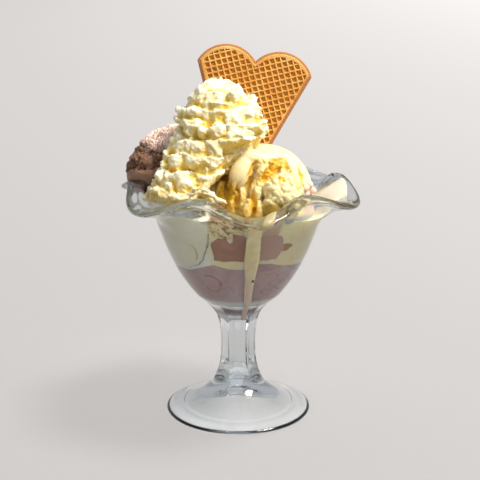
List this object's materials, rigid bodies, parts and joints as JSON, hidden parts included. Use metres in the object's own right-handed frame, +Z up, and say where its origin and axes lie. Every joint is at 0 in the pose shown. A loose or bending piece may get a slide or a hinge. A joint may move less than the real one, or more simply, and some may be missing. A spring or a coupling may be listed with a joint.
{
  "type": "ice cream sundae",
  "caption": "Ice cream sundae in a stemmed glass with a waved rim: scoops and melted ice cream in the bowl, a heap of piped cream and a heart wafer stood behind.",
  "frame": {"origin": "centre of the foot's underside", "axes": "+Z up along the stem, -Y towards the sundae's front, +X to the right as seen from the front"},
  "size_m": [0.1168, 0.121, 0.183],
  "materials": {
    "coupe_glass": "clear, smooth pressed glass",
    "lower_melt": "mauve melted ice cream, wet",
    "white_scoop": "cream-coloured ice cream pressed on the glass",
    "sunken_chocolate_scoop": "chocolate ice cream pressed on the glass",
    "vanilla_fill": "half-melted vanilla ice cream",
    "chocolate_scoop": "grained chocolate ice cream",
    "vanilla_scoop": "torn vanilla ice cream",
    "whipped_cream": "piped whipped cream",
    "heart_wafer": "baked wafer biscuit"
  },
  "bodies": {
    "root": {"coupe_glass": "coupe_glass", "lower_melt": "lower_melt", "white_scoop": "white_scoop", "sunken_chocolate_scoop": "sunken_chocolate_scoop", "vanilla_fill": "vanilla_fill", "chocolate_scoop": "chocolate_scoop", "vanilla_scoop": "vanilla_scoop", "whipped_cream": "whipped_cream", "heart_wafer": "heart_wafer"}
  },
  "joints": []
}
